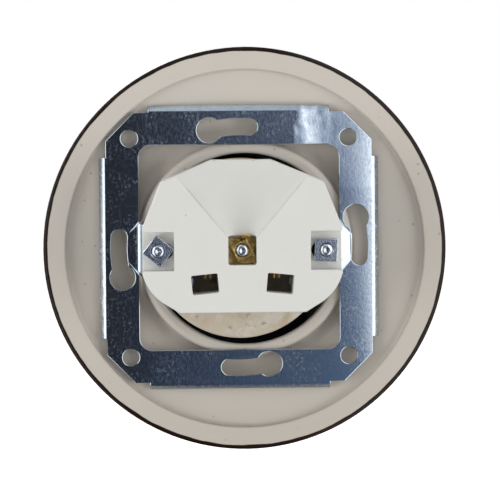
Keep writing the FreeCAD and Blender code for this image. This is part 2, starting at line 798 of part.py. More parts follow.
contact = make_contact()
nodes = {
    "cover_plate": make_cover(),
    "socket_cup": make_cup(),
    "mounting_bracket": make_bracket(),
    "ceramic_base": make_base(),
    "line_contact": contact,
    "neutral_contact": mirrored_x(contact),
    "contact_springs": both_poles(make_contact_spring()),
    "terminal_washers": both_poles(make_terminal_washer()),
    "terminal_screws": both_poles(make_terminal_screw()),
    "earth_strap": make_earth_strap(),
    "earth_clamp_plate": make_clamp_plate(),
    "earth_nut": square_nut(0, 0, earth_nut_y, earth_nut_width, earth_nut_height, earth_nut_turn),
    "centre_screw": make_centre_screw(),
    "base_screws": make_base_screws(),
    "base_nuts": make_base_nuts(),
}

os.makedirs("parts", exist_ok=True)
for name, shape in nodes.items():
    shape.exportStep("parts/" + name + ".step")
    box = shape.BoundBox
    print(name, len(shape.Solids), "solid(s), valid", shape.isValid(), "volume", round(shape.Volume, 1),
          "x", round(box.XMin, 2), round(box.XMax, 2), "y", round(box.YMin, 2), round(box.YMax, 2),
          "z", round(box.ZMin, 2), round(box.ZMax, 2))
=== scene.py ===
# %% [markdown]
# # A round porcelain wall socket, seen from behind
# The socket was drawn as solids first, so every piece already has its true size and place.
# This lesson dresses those solids: it sets up the camera and the light of the photograph,
# gives each material its surface, and models the fine metalwork that solids leave plain.

# %% Load the solids
import math

import bpy
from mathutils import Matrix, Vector


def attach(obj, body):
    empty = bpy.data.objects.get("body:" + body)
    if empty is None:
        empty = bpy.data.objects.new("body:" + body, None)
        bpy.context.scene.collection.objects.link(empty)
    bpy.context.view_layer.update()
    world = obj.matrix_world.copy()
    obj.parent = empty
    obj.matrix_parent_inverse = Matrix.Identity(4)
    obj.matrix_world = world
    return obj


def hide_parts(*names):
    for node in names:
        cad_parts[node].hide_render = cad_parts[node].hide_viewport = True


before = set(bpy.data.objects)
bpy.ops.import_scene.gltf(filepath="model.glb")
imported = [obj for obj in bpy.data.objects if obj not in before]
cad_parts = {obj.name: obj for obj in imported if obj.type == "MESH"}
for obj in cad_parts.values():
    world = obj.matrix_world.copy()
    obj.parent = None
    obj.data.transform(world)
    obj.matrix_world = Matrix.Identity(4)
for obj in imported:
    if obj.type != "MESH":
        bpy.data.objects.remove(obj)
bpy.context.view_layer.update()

# %% [markdown]
# ## Units and small helpers
# The scene is in metres and the drawing is in millimetres, so one value turns one into the other.
# Paint charts give colours as hex codes in sRGB, but a shader wants linear light,
# so one function converts them. Another adds a node, sets it and joins it up in one line:
# given a node to read from, it takes the first output which that node has in use.
# A Mix node has sockets of the same name for numbers and for colours, so those for colours
# are called by their position: the share, the colour under it and the colour over it.

# %% Helpers for lengths, colours and nodes
mm = 0.001
SHARE, UNDER, OVER = 0, 6, 7
in_colour = {"data_type": "RGBA"}
soft = {"interpolation_type": "SMOOTHSTEP"}


def paint(code):
    """Linear colour of an sRGB hex code."""
    channels = [int(code[i:i + 2], 16) / 255 for i in (1, 3, 5)]
    linear = [c / 12.92 if c <= 0.04045 else ((c + 0.055) / 1.055) ** 2.4 for c in channels]
    return (*linear, 1.0)


def add(tree, kind, feeds=None, **settings):
    """New node of a kind with its settings, its inputs fed by values, outputs or nodes."""
    made = tree.nodes.new(kind)
    for name, value in settings.items():
        setattr(made, name, value)
    for socket, feed in (feeds or {}).items():
        if isinstance(feed, bpy.types.Node):
            feed = next(output for output in feed.outputs if output.enabled)
        if isinstance(feed, bpy.types.NodeSocket):
            tree.links.new(feed, made.inputs[socket])
        else:
            made.inputs[socket].default_value = feed
    return made


def new_material(name):
    """New material with an empty node tree, and that tree."""
    material = bpy.data.materials.new(name)
    material.use_nodes = True
    material.node_tree.nodes.clear()
    return material, material.node_tree


print("one millimetre is", mm, "m")

# %% [markdown]
# ## Camera
# The photograph looks straight at the back from about 60 cm, a little above and to one side of the
# middle, which is why the thick base seems to slide down and to the right over the bracket.
# A long lens at that distance gives the same slight parallax. The aim point is a few millimetres
# off the middle, as in the photograph, so the lens needs no shift, and the camera was held half
# a degree askew.

# %% Place the camera
view_distance = 600 * mm
view_side = 20 * mm
view_rise = 24 * mm
frame_width = 124.2 * mm
view_roll = math.radians(0.45)
aim = Vector((-2.61 * mm, 0.0, -0.71 * mm))

camera = bpy.data.objects.new("camera", bpy.data.cameras.new("camera"))
bpy.context.scene.collection.objects.link(camera)
camera.location = (view_side, view_distance, view_rise)
camera.rotation_euler = (aim - camera.location).to_track_quat("-Z", "Y").to_euler()
camera.rotation_euler.rotate_axis("Z", -view_roll)
camera.data.sensor_width = 36.0
camera.data.lens = camera.data.sensor_width * view_distance / frame_width
camera.data.clip_start = 10 * mm
bpy.context.scene.camera = camera
print("camera at", tuple(camera.location), "with a", round(camera.data.lens), "mm lens")

# %% [markdown]
# ## Floor and light
# A product table is often a sheet of white acrylic lit from below, so that it glows like the paper
# behind it and the object seems to stand in plain white. A little glow in the floor's own shader
# does the same. The floor is kept out of the mirrors, where it would only add haze, and it throws
# no shadow: frosted acrylic stops no lamp, so light from below the sheet reaches the socket.

# %% Lay the floor
floor_drop = 120 * mm
floor_radius = 4.0
floor_white = paint("#E8E8E8")
floor_glow = 0.62
white = (1.0, 1.0, 1.0, 1.0)

bpy.ops.object.select_all(action="DESELECT")
bpy.ops.mesh.primitive_circle_add(vertices=64, radius=floor_radius, fill_type="NGON",
                                  location=(0, 0, -floor_drop))
floor = bpy.context.object
floor.name = "floor"
floor.visible_glossy = False
floor.visible_diffuse = False
floor.visible_shadow = False
floor_acrylic, tree = new_material("opal_acrylic_lit_from_below")
surface = add(tree, "ShaderNodeBsdfPrincipled",
              {"Base Color": floor_white, "Roughness": 1.0, "Specular IOR Level": 0.0,
               "Emission Color": white, "Emission Strength": floor_glow})
add(tree, "ShaderNodeOutputMaterial", {"Surface": surface})
floor.data.materials.append(floor_acrylic)
print("floor", floor_drop / mm, "mm below the middle")

# %% [markdown]
# The photograph's shadows tell where its lamps stood: the groove round the bracket is dark at the
# left and right, where its walls stand across the light, and bright at the top and bottom, where
# the light runs along it. So there is one soft panel on each side, some sixty degrees from the view
# and a hand's breadth below level, and an even light from everywhere. A second pair lights the
# front, which the other views show.

# %% Set up the soft panels
panel_size = 0.55
panel_distance = 1.0
panels = (
    # name, direction from the socket, watts
    ("back_left", (0.87, 0.48, -0.10), 5.2),
    ("back_right", (-0.83, 0.55, -0.10), 4.8),
    ("front_left", (0.74, -0.67, 0.10), 5.0),
    ("front_right", (-0.74, -0.67, 0.10), 3.6),
)
for name, way, watts in panels:
    lamp = bpy.data.lights.new("panel_" + name, "AREA")
    lamp.size = panel_size
    lamp.energy = watts
    panel = bpy.data.objects.new("panel_" + name, lamp)
    bpy.context.scene.collection.objects.link(panel)
    panel.location = Vector(way).normalized() * panel_distance
    panel.rotation_euler = (-panel.location).to_track_quat("-Z", "Y").to_euler()
    panel.visible_glossy = False
    print(panel.name, "gives", watts, "W")

# %% [markdown]
# The mirror-bright zinc shows the room itself: dark behind the camera, a white wall of panels at
# both sides and a pale ceiling. Glossy rays therefore get a room of their own, drawn by direction,
# while matt surfaces get the even light and the camera sees plain white paper.
# A direction is told by how far it leans along X, Y and Z, from -1 to 1. Each wall begins softly
# between two such leanings. First come those leanings and the colours.

# %% Describe the room
fill_light = 0.60
fill_white = (1.0, 0.985, 0.96, 1.0)
room_dark = paint("#262A33")
room_panel = (1.9, 1.95, 1.97, 1.0)
room_screen = (0.28, 0.35, 0.49, 1.0)
room_door = (0.095, 0.145, 0.240, 1.0)
room_roof = paint("#D4DCDF")
room_front = paint("#B4B9C0")
room_window = (9.0, 9.1, 9.2, 1.0)

screen_slant = 0.09
slant_rise = (-0.12, 0.02)
screen_edge = (0.0, 0.16)
right_edge = (0.10, 0.40)
left_edge = (0.45, 0.68)
roof_edge = (0.52, 0.82)
door_top = (-0.055, -0.085)
door_side = (0.0, 0.07)
front_edge = (-0.35, 0.05)
front_rise = (-0.4, 0.9)
window_way = Vector((0.45, -0.70, 0.55)).normalized()
window_edge = (0.86, 0.92)
print("the room's window lies toward", tuple(window_way))

# %% [markdown]
# The wall at the right of the picture begins close to the camera with a grey-blue screen, which
# hangs lower down than the camera looks, and turns white further round. The one at the left begins
# further off. Low down at the right the dark is bluer, as sky through a door would make it.
# The front half of the room has one broad window, high up on the left of someone facing the socket.
# Each of these is a share from 0 to 1, so the colours can be laid over each other like washes.

# %% Light the room
world = bpy.data.worlds.new("studio")
bpy.context.scene.world = world
world.use_nodes = True
tree = world.node_tree
tree.nodes.clear()
sky = add(tree, "ShaderNodeTexCoord").outputs["Generated"]
toward = add(tree, "ShaderNodeSeparateXYZ", {0: sky}).outputs
across = add(tree, "ShaderNodeMath", {0: toward["X"], 1: -1.0}, operation="MULTIPLY")
level = add(tree, "ShaderNodeMapRange",
            {"Value": toward["Z"], "From Min": slant_rise[0], "From Max": slant_rise[1],
             "To Min": -screen_slant, "To Max": 0.0})
slanted = add(tree, "ShaderNodeMath", {0: across, 1: level}, operation="ADD")
to_window = add(tree, "ShaderNodeVectorMath", {0: sky, 1: window_way}, operation="DOT_PRODUCT")

seen = {}
for name, lean, (begin, full) in (
        ("screen", slanted, screen_edge), ("right", slanted, right_edge),
        ("left", toward["X"], left_edge), ("roof", toward["Z"], roof_edge),
        ("low", toward["Z"], door_top), ("rightward", across, door_side),
        ("back", toward["Y"], front_edge), ("window", to_window, window_edge)):
    seen[name] = add(tree, "ShaderNodeMapRange",
                     {"Value": lean, "From Min": begin, "From Max": full}, **soft)
in_door = add(tree, "ShaderNodeMath", {0: seen["low"], 1: seen["rightward"]}, operation="MULTIPLY")
up_front = add(tree, "ShaderNodeMapRange",
               {"Value": toward["Z"], "From Min": front_rise[0], "From Max": front_rise[1]})

back_room = room_dark
for amount, wash in ((seen["roof"], room_roof), (seen["screen"], room_screen),
                     (in_door, room_door), (seen["right"], room_panel), (seen["left"], room_panel)):
    back_room = add(tree, "ShaderNodeMix",
                    {SHARE: amount, UNDER: back_room, OVER: wash}, **in_colour)
whole_room = room_dark
for amount, wash in ((up_front, room_front), (seen["window"], room_window),
                     (seen["back"], back_room)):
    whole_room = add(tree, "ShaderNodeMix",
                     {SHARE: amount, UNDER: whole_room, OVER: wash}, **in_colour)

even = add(tree, "ShaderNodeBackground", {"Color": fill_white, "Strength": fill_light})
mirrored = add(tree, "ShaderNodeBackground", {"Color": whole_room})
paper = add(tree, "ShaderNodeBackground", {"Color": white})
ray = add(tree, "ShaderNodeLightPath").outputs
by_mirror = add(tree, "ShaderNodeMixShader", {0: ray["Is Glossy Ray"], 1: even, 2: mirrored})
by_camera = add(tree, "ShaderNodeMixShader", {0: ray["Is Camera Ray"], 1: by_mirror, 2: paper})
add(tree, "ShaderNodeOutputWorld", {"Surface": by_camera})
bpy.context.scene.view_settings.view_transform = "Standard"
print("fill light", fill_light)

# %% [markdown]
# ## Brown glaze over bare porcelain
# The cover and the cup are porcelain, turned and fired. A dark brown glaze runs over everything
# that faces the room, and stops where the piece stood in the kiln: the whole back of the cover and
# the foot of the cup stay bare, a matt warm grey with faint turning lines and a few iron specks.
# The two finishes meet along a line, so one material holds both and a mask by place parts them.
# On the cover, glaze lies beyond a line round the back, on the outer wall, on the front and in the
# bore. The line wavers by a quarter of a millimetre over some 6 mm, as wax leaves it.

# %% Where the cover is glazed
cover_middle = Vector((-1.42 * mm, 0.0, -0.36 * mm))
glaze_edge = 49.05 * mm
line_soft = 0.12 * mm
line_waver = 0.25 * mm
waver_size = 6 * mm
outside_edge = 46.5 * mm
back_plane = -0.9 * mm
front_plane = -6.9 * mm
bore_edge = 24.5 * mm
bore_plane = -1.75 * mm

cover_porcelain, tree = new_material("brown_glazed_porcelain_with_bare_back")
place = add(tree, "ShaderNodeTexCoord").outputs["Object"]
centred = add(tree, "ShaderNodeVectorMath", {0: place, 1: -cover_middle}, operation="ADD")
parts = add(tree, "ShaderNodeSeparateXYZ", {0: centred}).outputs
flat = add(tree, "ShaderNodeCombineXYZ", {"X": parts["X"], "Z": parts["Z"]})
radius = add(tree, "ShaderNodeVectorMath", {0: flat}, operation="LENGTH")
waver = add(tree, "ShaderNodeTexNoise", {"Vector": place, "Scale": 1 / waver_size, "Detail": 2.0})
wavy = add(tree, "ShaderNodeMath", {0: waver, 1: 2 * line_waver, 2: -line_waver},
           operation="MULTIPLY_ADD")
reach = add(tree, "ShaderNodeMath", {0: radius, 1: wavy}, operation="ADD")
over_line = add(tree, "ShaderNodeMapRange",
                {"Value": reach, "From Min": glaze_edge - line_soft,
                 "From Max": glaze_edge + line_soft}, **soft)
outer = add(tree, "ShaderNodeMath", {0: radius, 1: outside_edge}, operation="GREATER_THAN")
below_back = add(tree, "ShaderNodeMath", {0: parts["Y"], 1: back_plane}, operation="LESS_THAN")
outer_wall = add(tree, "ShaderNodeMath", {0: outer, 1: below_back}, operation="MULTIPLY")
front = add(tree, "ShaderNodeMath", {0: parts["Y"], 1: front_plane}, operation="LESS_THAN")
in_bore = add(tree, "ShaderNodeMath", {0: radius, 1: bore_edge}, operation="LESS_THAN")
bore_depth = add(tree, "ShaderNodeMath", {0: parts["Y"], 1: wavy}, operation="ADD")
deep = add(tree, "ShaderNodeMath", {0: bore_depth, 1: bore_plane}, operation="LESS_THAN")
bore = add(tree, "ShaderNodeMath", {0: in_bore, 1: deep}, operation="MULTIPLY")
glazed = over_line
for region in (outer_wall, front, bore):
    glazed = add(tree, "ShaderNodeMath", {0: glazed, 1: region}, operation="MAXIMUM")
print("glaze begins", round(glaze_edge / mm, 2), "mm from the cover's middle")

# %% [markdown]
# Bare porcelain drifts between a warmer and a cooler grey, its lower half is painted darker as
# painted shade, for light that falls more strongly from above, and iron in the clay has burnt to
# specks. The glaze is darker where it pooled. Glaze is smooth and shines; along its line on the
# back it was wiped thin and dry, so there it shines less.
# Iron specks are some 0.2 mm wide in clay; they are drawn about 0.6 mm wide so that they show.

# %% Colour and gloss of the cover
glaze_brown = paint("#130D0B")
glaze_thin = paint("#2A1A12")
bisque_warm = paint("#C5BEB5")
bisque_cool = paint("#BEBAB3")
bisque_shaded = paint("#AEA89E")
iron_speck = paint("#8A8074")
cloud_size = 14 * mm
shade_top = 10 * mm
shade_bottom = -45 * mm
shade_most = 0.65
speck_spacing = 4.2 * mm
speck_core = 0.21 * mm
speck_rim = 0.42 * mm
speck_dark = 0.55
bare_rough = 0.78
glaze_rough = 0.09
dry_begins = -6 * mm
dry_full = -1.8 * mm
glaze_shine = 0.5
dry_shine = 0.12

cloud = add(tree, "ShaderNodeTexNoise", {"Vector": place, "Scale": 1 / cloud_size, "Detail": 3.0})
# Painted shade: the bare clay grows darker towards the bottom, standing in for light that falls
# more strongly from above.
lower_shade = add(tree, "ShaderNodeMapRange",
           {"Value": parts["Z"], "From Min": shade_top, "From Max": shade_bottom,
            "To Max": shade_most})
grit = add(tree, "ShaderNodeTexVoronoi", {"Vector": place, "Scale": 1 / speck_spacing})
speck = add(tree, "ShaderNodeMapRange",
            {"Value": grit, "From Min": speck_core / speck_spacing,
             "From Max": speck_rim / speck_spacing, "To Min": speck_dark, "To Max": 0.0}, **soft)
pooled = add(tree, "ShaderNodeMix",
             {SHARE: cloud, UNDER: glaze_brown, OVER: glaze_thin}, **in_colour)
colour = bisque_warm
for amount, wash in ((cloud, bisque_cool), (lower_shade, bisque_shaded), (speck, iron_speck),
                     (glazed, pooled)):
    colour = add(tree, "ShaderNodeMix", {SHARE: amount, UNDER: colour, OVER: wash}, **in_colour)
gloss = add(tree, "ShaderNodeMapRange",
            {"Value": glazed, "To Min": bare_rough, "To Max": glaze_rough})
to_back = add(tree, "ShaderNodeMapRange",
              {"Value": parts["Y"], "From Min": dry_begins, "From Max": dry_full})
dry = add(tree, "ShaderNodeMath", {0: to_back, 1: over_line}, operation="MULTIPLY")
shine = add(tree, "ShaderNodeMapRange", {"Value": dry, "To Min": glaze_shine, "To Max": dry_shine})
print("specks lie some", speck_spacing / mm, "mm apart")

# %% [markdown]
# Turning leaves fine rings on the bare back, 0.7 mm apart, over the grain of the clay. The glaze
# fills them and lies in slow waves of its own, which make its highlights waver.
# Both are a matter of hundredths of a millimetre, so a bump is enough. The cover's shape is right
# as it is, so its solid keeps its mesh and only takes the new material.

# %% Relief of the cover
ring_spacing = 0.7 * mm
ring_part = 0.12
clay_grain = 0.5 * mm
wave_part = 4.0
cover_relief = 0.02 * mm


def dress(solid, finish):
    """Give a solid that stays as it is its finish."""
    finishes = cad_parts[solid].data.materials
    finishes.clear()
    finishes.append(finish)
    print(solid, "finished in", finish.name)


turned = add(tree, "ShaderNodeMath", {0: radius, 1: 2 * math.pi / ring_spacing},
             operation="MULTIPLY")
ring = add(tree, "ShaderNodeMath", {0: turned}, operation="SINE")
grain = add(tree, "ShaderNodeTexNoise", {"Vector": place, "Scale": 1 / clay_grain, "Detail": 4.0})
rough_back = add(tree, "ShaderNodeMath", {0: ring, 1: ring_part, 2: grain},
                 operation="MULTIPLY_ADD")
bare = add(tree, "ShaderNodeMath", {0: 1.0, 1: glazed}, operation="SUBTRACT")
relief = add(tree, "ShaderNodeMath", {0: rough_back, 1: bare}, operation="MULTIPLY")
waves = add(tree, "ShaderNodeMath", {0: cloud, 1: glazed}, operation="MULTIPLY")
height = add(tree, "ShaderNodeMath", {0: waves, 1: wave_part, 2: relief}, operation="MULTIPLY_ADD")
bump = add(tree, "ShaderNodeBump", {"Height": height, "Distance": cover_relief, "Strength": 0.6})
shader = add(tree, "ShaderNodeBsdfPrincipled",
             {"Base Color": colour, "Roughness": gloss, "Normal": bump, "IOR": 1.5,
              "Specular IOR Level": shine})
add(tree, "ShaderNodeOutputMaterial", {"Surface": shader})
dress("cover_plate", cover_porcelain)

# %% [markdown]
# ## The cup
# The cup carries the same brown glaze in its well and on its flange. Its foot stood on the kiln
# shelf, so it is bare, and years of handling have marbled it with brown and grey smudges.
# The foot is the part of the cup nearest the wall, so a mask by depth parts the two finishes.

# %% Cup porcelain
foot_plane = 4.0 * mm
foot_cream = paint("#B2A897")
foot_pale = paint("#BBB4A9")
foot_tan = paint("#A8947A")
foot_soot = paint("#746868")
foot_rough = 0.72
vein_size = 5 * mm
smear_size = 2.2 * mm
tan_most = 0.55
soot_most = 0.65
cup_relief = 0.03 * mm

cup_porcelain, tree = new_material("brown_glazed_porcelain_with_bare_foot")
place = add(tree, "ShaderNodeTexCoord").outputs["Object"]
parts = add(tree, "ShaderNodeSeparateXYZ", {0: place}).outputs
bare = add(tree, "ShaderNodeMath", {0: parts["Y"], 1: foot_plane}, operation="GREATER_THAN")
veins = add(tree, "ShaderNodeTexNoise",
            {"Vector": place, "Scale": 1 / vein_size, "Detail": 4.0, "Distortion": 0.8})
smear = add(tree, "ShaderNodeTexNoise", {"Vector": place, "Scale": 1 / smear_size, "Detail": 5.0})
foot = foot_cream
for pattern, begin, full, most, wash in (
        # pattern, where its share begins and is full, its largest share, colour
        (veins, 0.50, 0.62, 1.0, foot_pale),
        (veins, 0.46, 0.36, tan_most, foot_tan),
        (smear, 0.60, 0.72, soot_most, foot_soot)):
    amount = add(tree, "ShaderNodeMapRange",
                 {"Value": pattern, "From Min": begin, "From Max": full, "To Max": most}, **soft)
    foot = add(tree, "ShaderNodeMix", {SHARE: amount, UNDER: foot, OVER: wash}, **in_colour)
pooled = add(tree, "ShaderNodeMix",
             {SHARE: veins, UNDER: glaze_brown, OVER: glaze_thin}, **in_colour)
colour = add(tree, "ShaderNodeMix", {SHARE: bare, UNDER: pooled, OVER: foot}, **in_colour)
gloss = add(tree, "ShaderNodeMapRange",
            {"Value": bare, "To Min": glaze_rough, "To Max": foot_rough})
grain = add(tree, "ShaderNodeTexNoise", {"Vector": place, "Scale": 1 / clay_grain, "Detail": 4.0})
relief = add(tree, "ShaderNodeMath", {0: grain, 1: bare}, operation="MULTIPLY")
bump = add(tree, "ShaderNodeBump", {"Height": relief, "Distance": cup_relief, "Strength": 0.6})
shader = add(tree, "ShaderNodeBsdfPrincipled",
             {"Base Color": colour, "Roughness": gloss, "Normal": bump, "IOR": 1.5})
add(tree, "ShaderNodeOutputMaterial", {"Surface": shader})
dress("socket_cup", cup_porcelain)

# %% [markdown]
# ## Zinc-plated sheet
# The bracket is stamped from thin steel and plated with zinc, which a chromate bath tints blue.
# It is nearly a mirror, so what the eye reads as its colour is the room: dark on one side, white on
# the other. Three things break the mirror: the sheet isn't quite flat, the plating has bloomed to
# a thin haze, and handling has left pits and scratches.
# The sheet rolls over by nearly six degrees in its last millimetres before the folds at the sides,
# and by less at the top and bottom. One corner was knocked: beyond a soft, uneven kink in the upper
# bar it falls away, steeply at first and then less. All this is a millimetre or so deep, and
# the crisp flat of the sheet is worth keeping, so a bump does it.

# %% Waves of the zinc sheet
sheet_half = 33 * mm
roll_height = 0.42 * mm
roll_power = 8.0
upright_part = 0.4
haze_size = 9 * mm
kink_x = -16.5 * mm
kink_run = 4.5 * mm
kink_reach = 5.0
kink_drop = 0.80 * mm
kink_waver = 6.0 * mm
kink_low = 14.0 * mm
kink_high = 28.0 * mm

zinc_sheet, tree = new_material("blue_chromated_zinc_on_stamped_steel")
place = add(tree, "ShaderNodeTexCoord").outputs["Object"]
parts = add(tree, "ShaderNodeSeparateXYZ", {0: place}).outputs
rolls = {}
for axis in ("X", "Z"):
    along = add(tree, "ShaderNodeMath", {0: parts[axis], 1: 1 / sheet_half}, operation="MULTIPLY")
    off_middle = add(tree, "ShaderNodeMath", {0: along}, operation="ABSOLUTE")
    rolls[axis] = add(tree, "ShaderNodeMath", {0: off_middle, 1: roll_power}, operation="POWER")
rolled = add(tree, "ShaderNodeMath", {0: rolls["Z"], 1: upright_part, 2: rolls["X"]},
             operation="MULTIPLY_ADD")
sunk = add(tree, "ShaderNodeMath", {0: rolled, 1: -roll_height}, operation="MULTIPLY")

cloud = add(tree, "ShaderNodeTexNoise", {"Vector": place, "Scale": 1 / haze_size, "Detail": 2.0})
uneven = add(tree, "ShaderNodeMath", {0: cloud, 1: kink_waver, 2: parts["X"]},
             operation="MULTIPLY_ADD")
kink_start = kink_x + kink_waver
beyond = add(tree, "ShaderNodeMapRange",
             {"Value": uneven, "From Min": kink_start,
              "From Max": kink_start - kink_reach * kink_run, "To Min": 0.0, "To Max": -kink_reach})
left_over = add(tree, "ShaderNodeMath", {0: beyond}, operation="EXPONENT")
fallen = add(tree, "ShaderNodeMath", {0: 1.0, 1: left_over}, operation="SUBTRACT")
softly = add(tree, "ShaderNodeMath", {0: fallen, 1: fallen}, operation="MULTIPLY")
at_top = add(tree, "ShaderNodeMapRange",
             {"Value": parts["Z"], "From Min": kink_low, "From Max": kink_high}, **soft)
knocked = add(tree, "ShaderNodeMath", {0: softly, 1: at_top}, operation="MULTIPLY")
warped = add(tree, "ShaderNodeMath", {0: knocked, 1: -kink_drop, 2: sunk}, operation="MULTIPLY_ADD")
print("the sheet rolls over by", round(roll_height / mm, 2), "mm")

# %% [markdown]
# Haze is only roughness: a rough patch mixes the white walls into the dark and so looks paler.
# It lies in clouds of some 9 mm, broken into flecks just under a millimetre wide, a little long in
# the rolling direction. Pits and scratches are finer than a pixel; they are drawn some 0.2 to
# 0.4 mm wide so that they show. Scratches are noise drawn out along three directions.

# %% Haze and scratches of the zinc sheet
zinc_blue = paint("#CBD3DC")
zinc_dull = paint("#B9C1CC")
zinc_smooth = 0.12
zinc_hazy = 0.32
mark_rough = 0.13
cloud_edge = (0.38, 0.62)
cloud_least = 0.35
streak_edge = (0.38, 0.72)
pit_edge = (0.71, 0.86)
scratch_edge = (0.73, 0.83)
fleck_size = Vector((0.75 * mm, 0.75 * mm, 1.0 * mm))
plating_relief = 0.018 * mm
pit_size = 0.45 * mm
scratch_size = Vector((0.22 * mm, 4 * mm, 5 * mm))
scratch_turns = (8.0, 62.0, -35.0)

clouded = add(tree, "ShaderNodeMapRange",
              {"Value": cloud, "From Min": cloud_edge[0], "From Max": cloud_edge[1],
               "To Min": cloud_least}, **soft)
rolling = add(tree, "ShaderNodeMapping",
              {"Vector": place, "Scale": [1 / size for size in fleck_size]})
streak = add(tree, "ShaderNodeTexNoise",
             {"Vector": rolling, "Scale": 1.0, "Detail": 3.0, "Roughness": 0.65})
streaked = add(tree, "ShaderNodeMapRange",
               {"Value": streak, "From Min": streak_edge[0], "From Max": streak_edge[1]}, **soft)
haze = add(tree, "ShaderNodeMath", {0: streaked, 1: clouded}, operation="MULTIPLY")
plated = add(tree, "ShaderNodeMath", {0: streak, 1: plating_relief, 2: warped},
             operation="MULTIPLY_ADD")
pits = add(tree, "ShaderNodeTexNoise", {"Vector": place, "Scale": 1 / pit_size, "Detail": 1.0})
marks = add(tree, "ShaderNodeMapRange",
            {"Value": pits, "From Min": pit_edge[0], "From Max": pit_edge[1]}, **soft)
for turn in scratch_turns:
    swung = add(tree, "ShaderNodeMapping",
                {"Vector": place, "Rotation": (0.0, math.radians(turn), 0.0)})
    drawn = add(tree, "ShaderNodeMapping",
                {"Vector": swung, "Scale": [1 / size for size in scratch_size]})
    line = add(tree, "ShaderNodeTexNoise", {"Vector": drawn, "Scale": 1.0, "Detail": 1.0})
    cut = add(tree, "ShaderNodeMapRange",
              {"Value": line, "From Min": scratch_edge[0], "From Max": scratch_edge[1]}, **soft)
    marks = add(tree, "ShaderNodeMath", {0: marks, 1: cut}, operation="MAXIMUM")
gloss = add(tree, "ShaderNodeMapRange", {"Value": haze, "To Min": zinc_smooth, "To Max": zinc_hazy})
worn = add(tree, "ShaderNodeMath", {0: marks, 1: mark_rough, 2: gloss}, operation="MULTIPLY_ADD")
tint = add(tree, "ShaderNodeMix", {SHARE: haze, UNDER: zinc_blue, OVER: zinc_dull}, **in_colour)
bump = add(tree, "ShaderNodeBump", {"Height": plated, "Distance": 1.0, "Strength": 1.0})
shader = add(tree, "ShaderNodeBsdfPrincipled",
             {"Base Color": tint, "Metallic": 1.0, "Roughness": worn, "Normal": bump})
add(tree, "ShaderNodeOutputMaterial", {"Surface": shader})
print("sheet finish", zinc_sheet.name)

# %% [markdown]
# ## Steatite
# The base is pressed from soapstone powder and fired: a dense, matt, slightly warm white with
# a very fine grain. Pressing leaves faint clouds in the colour and the odd dark grain of the die's
# wear. Dark grains are 0.1 mm in the stone; they are drawn some 0.4 mm wide so that they show.

# %% Steatite
steatite_white = paint("#D4D5D2")
steatite_cloud = paint("#CFCFCB")
steatite_grain = paint("#8F897E")
press_cloud = 7 * mm
grain_spacing = 6 * mm
grain_core = 0.15 * mm
grain_rim = 0.30 * mm
grain_dark = 0.5
stone_smooth = 0.58
stone_rough = 0.68
stone_grain = 0.4 * mm
stone_relief = 0.012 * mm

steatite, tree = new_material("pressed_steatite")
place = add(tree, "ShaderNodeTexCoord").outputs["Object"]
cloud = add(tree, "ShaderNodeTexNoise", {"Vector": place, "Scale": 1 / press_cloud, "Detail": 3.0})
grit = add(tree, "ShaderNodeTexVoronoi", {"Vector": place, "Scale": 1 / grain_spacing})
fleck = add(tree, "ShaderNodeMapRange",
            {"Value": grit, "From Min": grain_core / grain_spacing,
             "From Max": grain_rim / grain_spacing, "To Min": grain_dark, "To Max": 0.0}, **soft)
colour = steatite_white
for amount, wash in ((cloud, steatite_cloud), (fleck, steatite_grain)):
    colour = add(tree, "ShaderNodeMix", {SHARE: amount, UNDER: colour, OVER: wash}, **in_colour)
grain = add(tree, "ShaderNodeTexNoise", {"Vector": place, "Scale": 1 / stone_grain, "Detail": 4.0})
gloss = add(tree, "ShaderNodeMapRange",
            {"Value": cloud, "To Min": stone_smooth, "To Max": stone_rough})
bump = add(tree, "ShaderNodeBump", {"Height": grain, "Distance": stone_relief, "Strength": 0.5})
shader = add(tree, "ShaderNodeBsdfPrincipled",
             {"Base Color": colour, "Roughness": gloss, "Normal": bump, "IOR": 1.6})
add(tree, "ShaderNodeOutputMaterial", {"Surface": shader})
print("base finish", steatite.name)

# %% [markdown]
# ## Small metal parts
# Brass contacts, steel springs, plated screws and the tarnished earth clamp differ in colour, gloss
# and grain but are built alike: a metal, two tints that a cloud mixes, and a fine relief.
# One function builds them all from those few facts.

# %% Metals
tint_edge = (0.35, 0.65)


def metal(name, bright, dull, cloud_size, smooth, rough, grain_size, relief):
    """Metal whose tint and gloss drift over clouds, with a fine relief of its own."""
    material, tree = new_material(name)
    place = add(tree, "ShaderNodeTexCoord").outputs["Object"]
    cloud = add(tree, "ShaderNodeTexNoise",
                {"Vector": place, "Scale": 1 / cloud_size, "Detail": 4.0})
    amount = add(tree, "ShaderNodeMapRange",
                 {"Value": cloud, "From Min": tint_edge[0], "From Max": tint_edge[1]}, **soft)
    tint = add(tree, "ShaderNodeMix",
               {SHARE: amount, UNDER: paint(bright), OVER: paint(dull)}, **in_colour)
    gloss = add(tree, "ShaderNodeMapRange", {"Value": amount, "To Min": smooth, "To Max": rough})
    grain = add(tree, "ShaderNodeTexNoise",
                {"Vector": place, "Scale": 1 / grain_size, "Detail": 3.0})
    bump = add(tree, "ShaderNodeBump", {"Height": grain, "Distance": relief, "Strength": 1.0})
    shader = add(tree, "ShaderNodeBsdfPrincipled",
                 {"Base Color": tint, "Metallic": 1.0, "Roughness": gloss, "Normal": bump})
    add(tree, "ShaderNodeOutputMaterial", {"Surface": shader})
    print("metal", name)
    return material


# Rolled brass strip: warm yellow, browned where air reached it
contact_brass = metal("rolled_contact_brass", "#E4BE72", "#AE8848", cloud_size=2.5 * mm,
                      smooth=0.22, rough=0.40, grain_size=0.3 * mm, relief=0.004 * mm)
# Tempered spring steel: grey with a faint brown film
spring_steel = metal("tempered_spring_steel", "#8F9296", "#6A665F", cloud_size=3 * mm,
                     smooth=0.30, rough=0.45, grain_size=0.3 * mm, relief=0.004 * mm)
